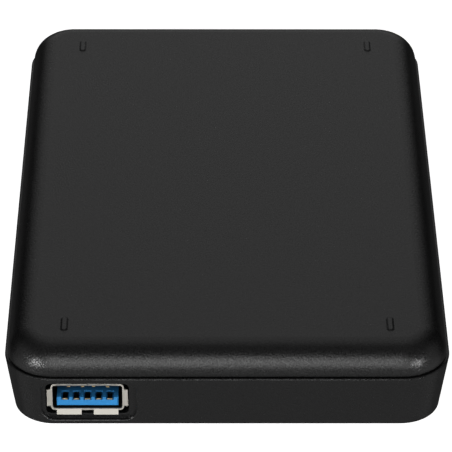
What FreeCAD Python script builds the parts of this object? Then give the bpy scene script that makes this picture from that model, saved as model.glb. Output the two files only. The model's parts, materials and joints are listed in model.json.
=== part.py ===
import FreeCAD, Part
import os
import re
import Sketcher

# Portable 2.5-inch solid state drive: a two-part moulded case, the drive and a bridge board with a port.
# The port faces -Y, the pips face +Z, and the origin is the middle of the underside. Lengths are millimetres.
SIZES = {
    # the drive inside
    "drive_width": 69.85,
    "drive_length": 100.0,
    "drive_height": 7.0,
    "drive_skin": 0.9,
    "drive_corner": 3.0,
    "drive_play": 0.2,
    "lid_skin": 0.9,
    "lid_screw_inset": 3.6,
    "lid_boss_radius": 2.0,
    "lid_screw_radius": 0.8,
    "lid_screw_length": 3.5,
    "lid_head_radius": 1.5,
    "lid_head_height": 0.5,
    "lug_width": 5.0,
    "lug_length": 7.0,
    "lug_bore_radius": 1.25,
    "lug_bore_rise": 3.0,
    "lug_bore_depth": 4.0,
    "lug_front": 14.0,
    "lug_back": 9.4,
    # the drive's circuit
    "circuit_length": 52.0,
    "circuit_gap": 1.475,
    "circuit_skin": 1.0,
    "circuit_corner_inset": 4.0,
    "standoff_rise": 1.0,
    "standoff_side": 3.2,
    "controller_side": 14.0,
    "controller_height": 1.2,
    "flash_width": 12.0,
    "flash_length": 18.0,
    "flash_height": 1.0,
    "flash_pitch": 13.5,
    "buffer_width": 9.0,
    "buffer_length": 13.0,
    "chip_margin": 2.0,
    "cell_length": 2.0,
    "cell_width": 1.25,
    "cell_height": 0.9,
    "cell_pitch": 3.4,
    # 22-way connection between drive and bridge
    "plug_inset": 8.225,
    "blade_pitch": 1.27,
    "blade_margin": 1.4,
    "blade_skin": 1.2,
    "blade_gap": 2.4,
    "blade_setback": 0.3,
    "blade_key_width": 1.2,
    "blade_key_drop": 1.0,
    "blade_play": 0.2,
    "plug_face": 5.2,
    "plug_block_depth": 4.0,
    "plug_block_height": 2.2,
    "plug_block_margin": 1.4,
    "nose_reach": 4.5,
    "nose_margin": 1.2,
    "nose_height": 3.6,
    "socket_depth": 6.5,
    "socket_rise": 2.26,
    "socket_margin": 2.4,
    "contact_width": 0.7,
    "contact_skin": 0.15,
    "contact_setback": 0.9,
    "contact_play": 0.03,
    # bridge board
    "board_skin": 1.0,
    "board_overhang": 1.6,
    "board_edge": 0.6,
    "board_margin": 3.4,
    "board_corner": 3.0,
    "post_radius": 2.3,
    "post_gap": 0.6,
    "post_bore_radius": 0.8,
    "post_bore_depth": 5.0,
    "board_hole_radius": 1.1,
    "board_head_radius": 1.9,
    "board_head_height": 1.2,
    "board_screw_length": 5.0,
    "rest_length": 6.0,
    "rest_width": 2.0,
    "part_pitch": 6.0,
    "regulator_offset": 15.0,
    "bridge_side": 8.0,
    "bridge_height": 0.9,
    "crystal_length": 3.2,
    "crystal_width": 2.5,
    "crystal_height": 0.8,
    "memory_length": 4.9,
    "memory_width": 3.9,
    "memory_height": 1.5,
    "memory_standoff": 0.2,
    "lead_pitch": 1.27,
    "lead_width": 0.42,
    "lead_reach": 1.0,
    "lead_skin": 0.2,
    "inductor_side": 4.0,
    "inductor_height": 2.0,
    "regulator_side": 3.0,
    "regulator_height": 1.0,
    "capacitor_length": 1.6,
    "capacitor_width": 0.8,
    "resistor_length": 1.0,
    "resistor_width": 0.5,
    "resistor_height": 0.35,
    # type-A port
    "port_inset": 14.95,
    "mouth_setback": 1.95,
    "shell_width": 13.1,
    "shell_height": 5.6,
    "shell_depth": 12.2,
    "shell_corner": 0.8,
    "sheet": 0.3,
    "seam": 0.14,
    "lip_reach": 1.1,
    "side_lip_reach": 0.95,
    "lip_run": 0.3,
    "top_lip_reach": 0.6,
    "top_lip_run": 0.4,
    "lip_width": 4.4,
    "lip_notch": 2.2,
    "side_lip_height": 3.5,
    "lip_root": 0.7,
    "leg_front": 8.0,
    "leg_length": 1.8,
    "leg_out": 0.6,
    "leg_play": 0.15,
    "spring_width": 1.5,
    "spring_offset": 3.0,
    "spring_front": 3.2,
    "spring_length": 4.6,
    "spring_sink": 0.4,
    "spring_slot": 0.4,
    "tongue_width": 11.0,
    "tongue_skin": 1.8,
    "tongue_gap": 0.54,
    "tongue_setback": 0.05,
    "tongue_length": 8.8,
    "tongue_bevel": 0.25,
    "block_play": 0.03,
    "strip": 0.2,
    "strip_play": 0.02,
    "fast_pitch": 2.0,
    "fast_width": 0.9,
    "fast_sink": 0.26,
    "fast_pocket_width": 1.4,
    "fast_pocket_length": 2.2,
    "fast_tail": 1.3,
    "fast_setback": 0.1,
    "power_width": 0.6,
    "power_inner": 1.0,
    "power_outer": 3.5,
    "power_crest": 4.3,
    "power_rise": 0.75,
    "power_ramp": 0.9,
    "power_slope": 3.0,
    "power_tail": 0.4,
    "tail_out": 0.5,
    "tail_play": 0.1,
    "tail_margin": 1.3,
    # moulded case
    "wall": 1.8,
    "floor_skin": 1.8,
    "roof_skin": 1.8,
    "base_draft": 1.6,
    "side_room": 1.62,
    "rear_room": 1.15,
    "bay_lift": 1.0,
    "foam_height": 4.9,
    "corner_radius": 8.9,
    "roll_radius": 4.83,
    "skirt_land": 0.3,
    "cover_step": 0.6,
    "reveal": 0.1,
    "rim_height": 1.2,
    "rim_play": 0.1,
    "skirt_skin": 0.6,
    "skirt_bevel": 0.1,
    "foot_radius": 0.6,
    "ledge_bevel": 0.2,
    "roof_bevel": 2.0,
    "brow": 0.72,
    "recess_side": 1.1,
    "recess_height": 9.2,
    "recess_offset": 0.28,
    "recess_drop": 0.1,
    "recess_bevel": 0.12,
    "recess_radius": 2.4,
    "recess_depth": 0.75,
    "opening_play": 0.25,
    "opening_height": 7.1,
    "opening_radius": 1.0,
    "pip_width": 1.4,
    "pip_length": 4.5,
    "pip_height": 0.2,
    "pip_flank": 0.35,
    "pip_side": 10.8,
    "pip_front": 9.4,
    "pip_back": 11.4,
    "hook_width": 7.0,
    "hook_skin": 1.2,
    "hook_root": 0.45,
    "hook_drop": 2.7,
    "hook_play": 0.35,
    "hook_pitch": 32.0,
    "hook_back": 20.0,
    "barb_reach": 0.7,
    "barb_height": 0.9,
    "barb_bevel": 0.4,
    "barb_play": 0.12,
    "rib_skin": 1.2,
    "rib_root": 1.3,
    "rib_margin": 6.0,
    "rib_inner": 10.0,
    "rib_outer": 27.0,
    "locator_height": 5.0,
    "stop_length": 5.0,
    "foam_width": 50.0,
    "foam_length": 70.0,
    "foam_corner": 4.0,
}

# places worked out from the sizes
HALF_X = "(drive_width / 2 + side_room + wall + base_draft)"
PORT_REACH = "(mouth_setback + shell_depth + fast_tail + strip)"
DRIVE_SETBACK = f"({PORT_REACH} + tail_margin + board_edge)"
HALF_Y = f"(({DRIVE_SETBACK} + drive_length + rear_room + wall + base_draft) / 2)"
DRIVE_HALF = "(drive_width / 2)"
DRIVE_FRONT = f"({DRIVE_SETBACK} - {HALF_Y})"
DRIVE_BACK = f"({DRIVE_FRONT} + drive_length)"
DRIVE_FOOT = "(floor_skin + bay_lift)"
DRIVE_TOP = f"({DRIVE_FOOT} + drive_height)"
LID_FOOT = f"({DRIVE_TOP} - lid_skin)"
LUG_SIDE = f"({DRIVE_HALF} - drive_skin / 2)"
LUG_SPOTS = ("lug_front", "(drive_length - lug_back)")
CIRCUIT_HALF = f"({LUG_SIDE} - lug_width - circuit_gap)"
CIRCUIT_FOOT = f"({DRIVE_FOOT} + drive_skin + standoff_rise)"
CIRCUIT_TOP = f"({CIRCUIT_FOOT} + circuit_skin)"
CIRCUIT_FRONT = f"({DRIVE_FRONT} + plug_face + drive_play)"
CIRCUIT_BACK = f"({CIRCUIT_FRONT} + circuit_length)"
PLUG_Z = f"({CIRCUIT_TOP} + blade_skin / 2)"
ROOF = f"({DRIVE_TOP} + foam_height)"
CASE_TOP = f"({ROOF} + roof_skin)"
BOARD_FOOT = f"({PLUG_Z} + socket_rise)"
BOARD_TOP = f"({BOARD_FOOT} + board_skin)"
PORT_X = f"(port_inset - {HALF_X})"
PORT_Y = f"(mouth_setback - {HALF_Y})"
PORT_Z = f"({BOARD_FOOT} - shell_height / 2)"
OPENING_HALF = "(shell_width / 2 - sheet + side_lip_reach + opening_play)"
RECESS_LEFT = f"({PORT_X} + recess_offset - {OPENING_HALF} - recess_side)"
RECESS_RIGHT = f"({PORT_X} + recess_offset + {OPENING_HALF} + recess_side)"
RECESS_FOOT = f"({PORT_Z} - recess_drop - recess_height / 2)"
RECESS_TOP = f"({RECESS_FOOT} + recess_height)"
PARTING = f"({RECESS_TOP} + brow)"
LEAN = f"atan(base_draft / {PARTING})"
COVER_FOOT = f"({PARTING} + reveal)"
ROLL = f"min(roll_radius; {CASE_TOP} - {COVER_FOOT} - skirt_land)"

# the 22 blades: seven for data on the left, fifteen for power on the right
DATA_BLADES = 7
POWER_BLADES = 15
DATA_WIDTH = f"({DATA_BLADES - 1} * blade_pitch + 2 * blade_margin)"
POWER_WIDTH = f"({POWER_BLADES - 1} * blade_pitch + 2 * blade_margin)"
BLADES_HALF = f"(({DATA_WIDTH} + blade_gap + {POWER_WIDTH}) / 2)"
BLADE_ROWS = (
    (DATA_BLADES, f"(0 - {BLADES_HALF})", DATA_WIDTH),
    (POWER_BLADES, f"({BLADES_HALF} - {POWER_WIDTH})", POWER_WIDTH),
)
NOSE_HALF = f"({BLADES_HALF} + nose_margin)"
SOCKET_HALF = f"({NOSE_HALF} + socket_margin)"
PLUG_X = f"({DRIVE_HALF} - plug_inset - {BLADES_HALF})"

# bridge board and its two screw posts, one before the socket and one beside it
BOARD_FRONT = f"({PORT_Y} + board_overhang)"
BOARD_BACK = f"({DRIVE_FRONT} - board_edge)"
BOARD_LEFT = f"({PORT_X} - shell_width / 2 - board_margin)"
BOARD_MIDDLE = f"(({BOARD_FRONT} + {BOARD_BACK}) / 2)"
SOCKET_FRONT = f"({DRIVE_FRONT} - socket_depth - 2 * strip)"
POST_RIGHT = f"({PLUG_X} + {SOCKET_HALF} + post_gap + post_radius)"
BOARD_RIGHT = f"({POST_RIGHT} + post_radius + post_gap)"
POSTS = (
    (f"({PLUG_X} - {BLADES_HALF})", f"(({BOARD_FRONT} + {SOCKET_FRONT}) / 2)"),
    (POST_RIGHT, BOARD_MIDDLE),
)

# the port's tongue, in the port's own frame
TONGUE_FOOT = "(sheet + tongue_gap - shell_height / 2)"
TONGUE_TOP = f"({TONGUE_FOOT} + tongue_skin)"
BLOCK_FRONT = "(tongue_setback + tongue_length)"
TAIL_TOP = "(shell_height / 2 + board_skin + tail_out)"
FAST_CONTACTS = 5

# snap hooks of the cover
HOOK_TIP = f"({PARTING} - hook_drop)"
HOOK_INSET = f"(wall + base_draft * hook_drop / {PARTING} + hook_play)"

# places closer than this count as one
CLOSE = 0.01

doc = FreeCAD.newDocument("portable_drive")
sheet = doc.addObject("Spreadsheet::Sheet", "Sizes")
for row, (alias, number) in enumerate(SIZES.items(), start=1):
    sheet.set(f"A{row}", alias)
    sheet.set(f"B{row}", str(number))
    sheet.setAlias(f"B{row}", alias)
doc.recompute()


# expression text with every size name pointing at its cell
def bound(text):
    return re.sub(r"[a-z_]+", lambda word: f"Sizes.{word[0]}" if word[0] in SIZES else word[0], text)


# number that an expression gives with the present sizes
def number_of(text):
    return float(sheet.evalExpression(bound(text)))


def bind(target, **expressions):
    for path, text in expressions.items():
        target.setExpression(path.replace("__", "."), bound(text))


def minus(text):
    return f"(0 - ({text}))"


# body with its own frame at a bound place
def new_body(label, x="0", y="0", z="0"):
    body = doc.addObject("PartDesign::Body", label)
    body.Label = label
    bind(body, Placement__Base__x=x, Placement__Base__y=y, Placement__Base__z=z)
    return body


# sketch on one of the body's own planes, shifted along that plane's normal
def new_sketch(body, plane, shift="0"):
    sketch = body.newObject("Sketcher::SketchObject", f"{body.Label}_outline")
    support = [feature for feature in body.Origin.OriginFeatures if feature.Role == f"{plane}_Plane"]
    sketch.AttachmentSupport = (support[0], [""])
    sketch.MapMode = "FlatFace"
    bind(sketch, AttachmentOffset__Base__z=shift)
    return sketch


def measure(sketch, kind, place, text):
    index = sketch.addConstraint(Sketcher.Constraint(kind, *place, number_of(text)))
    sketch.setExpression(f"Constraints[{index}]", bound(text))


# ties one point of the sketch to its distances from the origin
def pin_point(sketch, line, end, x, y):
    measure(sketch, "DistanceX", (-1, 1, line, end), x)
    measure(sketch, "DistanceY", (-1, 1, line, end), y)


def polygon(sketch, points):
    spots = [FreeCAD.Vector(number_of(x), number_of(y), 0) for x, y in points]
    first = sketch.GeometryCount
    count = len(spots)
    for i in range(count):
        sketch.addGeometry(Part.LineSegment(spots[i], spots[(i + 1) % count]), False)
    for i in range(count):
        sketch.addConstraint(Sketcher.Constraint("Coincident", first + i, 2, first + (i + 1) % count, 1))
    for i, (x, y) in enumerate(points):
        pin_point(sketch, first + i, 1, x, y)


def rectangle(sketch, west, east, south, north):
    polygon(sketch, [(west, south), (east, south), (east, north), (west, north)])


def circle(sketch, x, y, radius):
    centre = FreeCAD.Vector(number_of(x), number_of(y), 0)
    ring = sketch.addGeometry(Part.Circle(centre, FreeCAD.Vector(0, 0, 1), number_of(radius)), False)
    pin_point(sketch, ring, 3, x, y)
    measure(sketch, "Radius", (ring,), radius)


def arc(sketch, x, y, radius, quarter, quarters):
    turn = FreeCAD.Units.Quantity("90 deg").getValueAs("rad").Value
    ring = Part.Circle(FreeCAD.Vector(x, y, 0), FreeCAD.Vector(0, 0, 1), radius)
    return sketch.addGeometry(Part.ArcOfCircle(ring, quarter * turn, (quarter + quarters) * turn), False)


# rectangle with round corners: four lines and four arcs, each tangent to the next
def rounded(sketch, west, east, south, north, radius):
    w, e, s, n, r = (number_of(text) for text in (west, east, south, north, radius))
    runs = (
        ((w + r, s), (e - r, s), (e - r, s + r), -1, "DistanceY", south),
        ((e, s + r), (e, n - r), (e - r, n - r), 0, "DistanceX", east),
        ((e - r, n), (w + r, n), (w + r, n - r), 1, "DistanceY", north),
        ((w, n - r), (w, s + r), (w + r, s + r), 2, "DistanceX", west),
    )
    chain = []
    for start, end, centre, quarter, _, _ in runs:
        line = Part.LineSegment(FreeCAD.Vector(*start, 0), FreeCAD.Vector(*end, 0))
        chain.append(sketch.addGeometry(line, False))
        chain.append(arc(sketch, *centre, r, quarter, 1))
    for here, following in zip(chain, chain[1:] + chain[:1]):
        sketch.addConstraint(Sketcher.Constraint("Tangent", here, 2, following, 1))
    for line, (_, _, _, _, kind, text) in zip(chain[::2], runs):
        sketch.addConstraint(Sketcher.Constraint("Horizontal" if kind == "DistanceY" else "Vertical", line))
        measure(sketch, kind, (-1, 1, line, 1), text)
    for corner in chain[3::2]:
        sketch.addConstraint(Sketcher.Constraint("Equal", chain[1], corner))
    measure(sketch, "Radius", (chain[1],), radius)


# long slot with half-round ends along Y
def pill(sketch, x, y, width, length):
    cx, cy, r = number_of(x), number_of(y), number_of(width) / 2
    reach = f"({length} / 2 - {width} / 2)"
    run = number_of(reach)
    right = sketch.addGeometry(
        Part.LineSegment(FreeCAD.Vector(cx + r, cy - run, 0), FreeCAD.Vector(cx + r, cy + run, 0)), False)
    back = arc(sketch, cx, cy + run, r, 0, 2)
    left = sketch.addGeometry(
        Part.LineSegment(FreeCAD.Vector(cx - r, cy + run, 0), FreeCAD.Vector(cx - r, cy - run, 0)), False)
    front = arc(sketch, cx, cy - run, r, 2, 2)
    chain = [right, back, left, front]
    for here, following in zip(chain, chain[1:] + chain[:1]):
        sketch.addConstraint(Sketcher.Constraint("Tangent", here, 2, following, 1))
    sketch.addConstraint(Sketcher.Constraint("Equal", back, front))
    pin_point(sketch, back, 3, x, f"{y} + {reach}")
    pin_point(sketch, front, 3, x, f"{y} - {reach}")
    measure(sketch, "Radius", (back,), f"{width} / 2")


# rounded outline of the case, set in evenly from its widest line
def case_outline(sketch, inset):
    side = f"({HALF_X} - ({inset}))"
    end = f"({HALF_Y} - ({inset}))"
    rounded(sketch, minus(side), side, minus(end), end, f"corner_radius - ({inset})")


def grow(body, kind, sketch, length, flip=False, both=False):
    feature = body.newObject(f"PartDesign::{kind}", f"{body.Label}_{kind.lower()}")
    feature.Profile = sketch
    feature.Reversed = flip
    feature.SideType = "Symmetric" if both else "One side"
    bind(feature, Length=length)
    sketch.Visibility = False
    return feature


def pad(body, sketch, length, flip=False, both=False):
    return grow(body, "Pad", sketch, length, flip, both)


# pocket that must take material away
def pocket(body, sketch, length, flip=False):
    doc.recompute()
    before = body.Shape.Volume
    feature = grow(body, "Pocket", sketch, length, flip)
    doc.recompute()
    if body.Shape.Volume >= before:
        raise RuntimeError(f"{feature.Name} cuts nothing")
    return feature


# leans every upright face whose box passes the test, hinged where the faces meet the given height
def lean_in(body, angle, height, test, flip=False):
    doc.recompute()
    base = body.Tip
    faces = list(enumerate(base.Shape.Faces, start=1))
    upright = [f"Face{i}" for i, face in faces if face.BoundBox.ZLength > CLOSE and test(face.BoundBox)]
    level = [f"Face{i}" for i, face in faces if flat_at(height)(face.BoundBox)]
    feature = body.newObject("PartDesign::Draft", f"{body.Label}_draft")
    feature.Base = (base, upright)
    feature.NeutralPlane = (base, level[:1])
    feature.Reversed = flip
    bind(feature, Angle=angle)
    return feature


# rounds or bevels every edge whose box passes the test
def dress(body, kind, size, test):
    doc.recompute()
    base = body.Tip
    names = [f"Edge{i}" for i, edge in enumerate(base.Shape.Edges, start=1) if test(edge.BoundBox)]
    feature = body.newObject(f"PartDesign::{kind}", f"{body.Label}_{kind.lower()}")
    feature.Base = (base, names)
    bind(feature, **{"Radius" if kind == "Fillet" else "Size": size})
    return feature


def near(value, text):
    return abs(value - number_of(text)) < CLOSE


# test for edges that lie flat at one height
def flat_at(text):
    return lambda box: near(box.ZMin, text) and near(box.ZMax, text)


# copies the features in a row along X
def repeat(body, features, count, pitch):
    feature = body.newObject("PartDesign::LinearPattern", f"{body.Label}_row")
    feature.Originals = features
    axis = [origin for origin in body.Origin.OriginFeatures if origin.Role == "X_Axis"]
    feature.Direction = (axis[0], [""])
    feature.Mode = "Spacing"
    feature.Occurrences = count
    bind(feature, Offset=pitch)
    body.Tip = feature
    return feature


# copies the features across the body's middle plane
def mirror(body, features):
    feature = body.newObject("PartDesign::Mirrored", f"{body.Label}_mirror")
    feature.Originals = features
    plane = [origin for origin in body.Origin.OriginFeatures if origin.Role == "YZ_Plane"]
    feature.MirrorPlane = (plane[0], [""])
    body.Tip = feature
    return feature


def box(label, x, y, z, width, length, height):
    solid = doc.addObject("Part::Box", label)
    solid.Label = label
    bind(solid, Width=length, Length=width, Height=height)
    bind(solid, Placement__Base__x=f"{x} - ({width}) / 2", Placement__Base__y=f"{y} - ({length}) / 2")
    bind(solid, Placement__Base__z=z)
    return solid


def cylinder(label, x, y, z, radius, height):
    solid = doc.addObject("Part::Cylinder", label)
    bind(solid, Radius=radius, Height=height)
    bind(solid, Placement__Base__x=x, Placement__Base__y=y, Placement__Base__z=z)
    return solid


def together(kind, label, pieces):
    group = doc.addObject(kind, label)
    group.Label = label
    if kind == "Part::Compound":
        group.Links = pieces
    else:
        group.Shapes = pieces
    return group


# one screw: a head seated at the given height with its shank below
def screw(label, x, y, seat, head_radius, head_height, radius, length):
    head = cylinder(f"{label}_head", x, y, seat, head_radius, head_height)
    shank = cylinder(f"{label}_shank", x, y, f"{seat} - {length}", radius, f"{length} + {head_height} / 2")
    return together("Part::MultiFuse", label, [head, shank])


# where the cover's hooks sit, as (west, east, south, north) set in from the walls by the given distance
def hook_boxes(inset, skin, spread):
    half = f"(hook_width / 2 + {spread})"
    side = f"({HALF_X} - ({inset}))"
    back = f"({HALF_Y} - ({inset}))"
    boxes = []
    for y in ("(0 - hook_pitch)", "0", "hook_pitch"):
        boxes.append((f"{side} - {skin}", side, f"{y} - {half}", f"{y} + {half}"))
        boxes.append((minus(side), f"{skin} - {side}", f"{y} - {half}", f"{y} + {half}"))
    for x in ("(0 - hook_back)", "hook_back"):
        boxes.append((f"{x} - {half}", f"{x} + {half}", f"{back} - {skin}", back))
    return boxes


def base_tray():
    body = new_body("base_tray")
    brim = new_sketch(body, "XY", PARTING)
    case_outline(brim, "0")
    pad(body, brim, PARTING, flip=True)
    lean_in(body, LEAN, PARTING, lambda face: True, flip=True)
    dress(body, "Fillet", "foot_radius", flat_at("0"))
    dress(body, "Chamfer", "ledge_bevel", flat_at(PARTING))
    mouth = new_sketch(body, "XY", PARTING)
    case_outline(mouth, "wall")
    pocket(body, mouth, f"{PARTING} - floor_skin")
    lean_in(body, LEAN, PARTING, lambda face: near(face.ZMin, "floor_skin"))
    # upstanding rim that locates the cover
    rim = new_sketch(body, "XY", PARTING)
    case_outline(rim, "cover_step + skirt_skin + rim_play")
    case_outline(rim, "wall")
    pad(body, rim, "reveal + rim_height")
    # floor ribs that carry the drive
    ribs = new_sketch(body, "XY", "floor_skin")
    for x in ("(0 - rib_outer)", "(0 - rib_inner)", "rib_inner", "rib_outer"):
        rectangle(ribs, f"{x} - rib_skin / 2", f"{x} + rib_skin / 2",
                  f"{DRIVE_FRONT} + rib_margin", f"{DRIVE_BACK} - rib_margin")
    pad(body, ribs, "bay_lift")
    # ribs and stops beside the drive
    stops = new_sketch(body, "XY", "floor_skin")
    bay_side = f"({DRIVE_HALF} + drive_play)"
    wall_side = f"({HALF_X} - base_draft - wall + rib_root)"
    for y in ("(0 - hook_pitch / 2)", "(hook_pitch / 2)"):
        rectangle(stops, bay_side, wall_side, f"{y} - rib_skin / 2", f"{y} + rib_skin / 2")
        rectangle(stops, minus(wall_side), minus(bay_side), f"{y} - rib_skin / 2", f"{y} + rib_skin / 2")
    for x in ("(0 - rib_inner)", "rib_inner"):
        rectangle(stops, f"{x} - rib_skin / 2", f"{x} + rib_skin / 2",
                  f"{DRIVE_BACK} + drive_play", f"{HALF_Y} - base_draft - wall + rib_root")
    front = f"({DRIVE_FRONT} - drive_play)"
    for west, east in ((minus(DRIVE_HALF), f"stop_length - {DRIVE_HALF}"),
                       (f"{PLUG_X} + {SOCKET_HALF} + post_gap", DRIVE_HALF)):
        rectangle(stops, west, east, f"{front} - rib_skin", front)
    pad(body, stops, "bay_lift + locator_height")
    # posts under the bridge board
    posts = new_sketch(body, "XY", "floor_skin")
    for x, y in POSTS:
        circle(posts, x, y, "post_radius")
    rectangle(posts, BOARD_LEFT, f"{BOARD_LEFT} + rest_width", f"{BOARD_MIDDLE} - rest_length / 2",
              f"{BOARD_MIDDLE} + rest_length / 2")
    pad(body, posts, f"{BOARD_FOOT} - floor_skin")
    bores = new_sketch(body, "XY", BOARD_FOOT)
    for x, y in POSTS:
        circle(bores, x, y, "post_bore_radius")
    pocket(body, bores, "post_bore_depth")
    # windows that the cover's barbs catch in
    windows = new_sketch(body, "XY", f"{HOOK_TIP} + barb_height + barb_play")
    for sides in hook_boxes(f"{HOOK_INSET} - barb_reach - barb_play",
                            "(barb_reach + 2 * barb_play + hook_play)", "barb_play"):
        rectangle(windows, *sides)
    pocket(body, windows, "barb_height + 2 * barb_play")
    # shallow recess round the port, square to the leaning wall
    recess = new_sketch(body, "XZ", f"{HALF_Y} - base_draft")
    recess.AttachmentOffset = FreeCAD.Placement(
        recess.AttachmentOffset.Base, FreeCAD.Rotation(FreeCAD.Vector(1, 0, 0), 1))
    recess.setExpression("AttachmentOffset.Rotation.Angle", bound(LEAN))
    rounded(recess, RECESS_LEFT, RECESS_RIGHT, f"{RECESS_FOOT} / cos({LEAN})",
            f"{RECESS_TOP} / cos({LEAN})", "recess_radius")
    pocket(body, recess, "recess_depth")
    # bevelled edge of the recess: the edges that lie further out than half its depth
    slope = number_of(f"base_draft / {PARTING}")
    halfway = number_of(f"base_draft + recess_depth / 2 - {HALF_Y}")
    west, east, foot, top = map(number_of, (RECESS_LEFT, RECESS_RIGHT, RECESS_FOOT, RECESS_TOP))

    def recess_edge(edge_box):
        across = west - CLOSE < edge_box.XMin and edge_box.XMax < east + CLOSE
        upward = foot - CLOSE < edge_box.ZMin and edge_box.ZMax < top + CLOSE
        return across and upward and edge_box.YMax < halfway - slope * edge_box.ZMin

    dress(body, "Chamfer", "recess_bevel", recess_edge)
    # cut-out for the port
    opening = new_sketch(body, "XZ", HALF_Y)
    rounded(opening, f"{PORT_X} - {OPENING_HALF}", f"{PORT_X} + {OPENING_HALF}",
            f"{PORT_Z} - opening_height / 2", f"{PORT_Z} + opening_height / 2", "opening_radius")
    pocket(body, opening, "base_draft + wall + rim_height")
    return body


def top_cover():
    body = new_body("top_cover")
    outline = new_sketch(body, "XY", COVER_FOOT)
    case_outline(outline, "cover_step")
    pad(body, outline, f"{CASE_TOP} - {COVER_FOOT}")
    dress(body, "Fillet", ROLL, flat_at(CASE_TOP))
    dress(body, "Chamfer", "skirt_bevel", flat_at(COVER_FOOT))
    hollow = new_sketch(body, "XY", COVER_FOOT)
    case_outline(hollow, "cover_step + wall")
    pocket(body, hollow, f"{ROOF} - {COVER_FOOT}", flip=True)
    dress(body, "Chamfer", "roof_bevel", flat_at(ROOF))
    # step that drops over the rim of the tray
    step = new_sketch(body, "XY", COVER_FOOT)
    case_outline(step, "cover_step + skirt_skin")
    pocket(body, step, "rim_height", flip=True)
    # low pips near the corners, with sloping flanks
    pips = new_sketch(body, "XY", CASE_TOP)
    for x in (f"({HALF_X} - pip_side)", f"(pip_side - {HALF_X})"):
        for y in (f"(pip_front - {HALF_Y})", f"({HALF_Y} - pip_back)"):
            pill(pips, x, y, "pip_width", "pip_length")
    bind(pad(body, pips, "pip_height"), TaperAngle="atan((0 - pip_flank) / pip_height)")
    # snap hooks with barbs
    hooks = new_sketch(body, "XY", HOOK_TIP)
    for sides in hook_boxes(HOOK_INSET, "hook_skin", "0"):
        rectangle(hooks, *sides)
    pad(body, hooks, f"{ROOF} + hook_root - {HOOK_TIP}")
    barbs = new_sketch(body, "XY", HOOK_TIP)
    for sides in hook_boxes(f"{HOOK_INSET} - barb_reach", "(barb_reach + hook_skin / 2)", "0"):
        rectangle(barbs, *sides)
    pad(body, barbs, "barb_height")
    barb_x = f"({HALF_X} - {HOOK_INSET} + barb_reach)"
    barb_y = f"({HALF_Y} - {HOOK_INSET} + barb_reach)"
    tip = flat_at(HOOK_TIP)

    def leading_edge(edge_box):
        sides = (edge_box.XMin, minus(barb_x)), (edge_box.XMax, barb_x), (edge_box.YMax, barb_y)
        thin = min(edge_box.XLength, edge_box.YLength) < CLOSE
        long = near(max(edge_box.XLength, edge_box.YLength), "hook_width")
        return tip(edge_box) and thin and long and any(near(value, text) for value, text in sides)

    dress(body, "Chamfer", "min(barb_bevel; barb_reach - barb_play)", leading_edge)
    return body


def foam_pad():
    body = new_body("foam_pad", y=f"({DRIVE_FRONT} + {DRIVE_BACK}) / 2", z=DRIVE_TOP)
    outline = new_sketch(body, "XY")
    rounded(outline, "0 - foam_width / 2", "foam_width / 2", "0 - foam_length / 2", "foam_length / 2",
            "foam_corner")
    pad(body, outline, "foam_height")
    return body


# profile of a flared lip: it leaves the inner face at the mouth and leans out and forward
def lip_profile(inner, outer, reach, run, sign):
    slant = f"sqrt({reach} * {reach} + {run} * {run})"
    back = f"(sheet * {reach} / {slant} - {run})"
    out = f"({reach} + sheet * {run} / {slant})"
    bend = f"({back} + ({out} - sheet) * {run} / {reach})"
    return [
        (f"{inner}", "0"),
        (f"{inner} {sign} {reach}", f"(0 - {run})"),
        (f"{inner} {sign} {out}", back),
        (f"{outer}", bend),
        (f"{outer}", "lip_root"),
        (f"{inner}", "lip_root"),
    ]


def port_shell():
    body = new_body("port_shell", PORT_X, PORT_Y, PORT_Z)
    side = "(shell_width / 2)"
    rise = "(shell_height / 2)"
    tube = new_sketch(body, "XZ")
    rounded(tube, minus(side), side, minus(rise), rise, "shell_corner")
    rounded(tube, f"sheet - {side}", f"{side} - sheet", f"sheet - {rise}", f"{rise} - sheet",
            "shell_corner - sheet")
    pad(body, tube, "shell_depth", flip=True)
    # two lips below with a notch between, and two above on either side of the seam
    lips = []
    for inner, outer, reach, run, sign, start in (
            (f"(sheet - {rise})", minus(rise), "lip_reach", "lip_run", "-", "lip_notch / 2"),
            (f"({rise} - sheet)", rise, "top_lip_reach", "top_lip_run", "+", "seam / 2")):
        profile = new_sketch(body, "YZ", start)
        polygon(profile, [(y, z) for z, y in lip_profile(inner, outer, reach, run, sign)])
        lips.append(pad(body, profile, f"lip_notch / 2 + lip_width - {start}"))
    # one lip at each side
    flank = new_sketch(body, "XY")
    polygon(flank, lip_profile(f"({side} - sheet)", side, "side_lip_reach", "lip_run", "+"))
    lips.append(pad(body, flank, "side_lip_height", both=True))
    # legs that pass up through the board
    leg = new_sketch(body, "YZ", f"{side} - sheet")
    rectangle(leg, "leg_front", "leg_front + leg_length", "0", f"{rise} + board_skin + leg_out")
    lips.append(pad(body, leg, "sheet"))
    mirror(body, lips)
    # seam where the folded sheet meets
    seam = new_sketch(body, "XY", rise)
    rectangle(seam, "0 - seam / 2", "seam / 2", "0 - lip_run", "shell_depth + lip_run")
    pocket(body, seam, "2 * sheet")
    # spring tabs pressed out of the lower wall
    half = "(spring_width / 2 + spring_slot)"
    windows = new_sketch(body, "XY", f"sheet - {rise}")
    for x in ("(0 - spring_offset)", "spring_offset"):
        rectangle(windows, f"{x} - {half}", f"{x} + {half}", "spring_front", "spring_front + spring_length")
    pocket(body, windows, "sheet")
    spring = new_sketch(body, "YZ", "spring_offset - spring_width / 2")
    low = minus(rise)
    tip = "(spring_front + spring_slot)"
    polygon(spring, [
        (tip, f"{low} + spring_sink"),
        ("spring_front + spring_length", low),
        ("spring_front + spring_length + sheet", low),
        ("spring_front + spring_length + sheet", f"{low} + sheet"),
        ("spring_front + spring_length", f"{low} + sheet"),
        (tip, f"{low} + spring_sink + sheet"),
    ])
    mirror(body, [pad(body, spring, "spring_width")])
    return body


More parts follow.
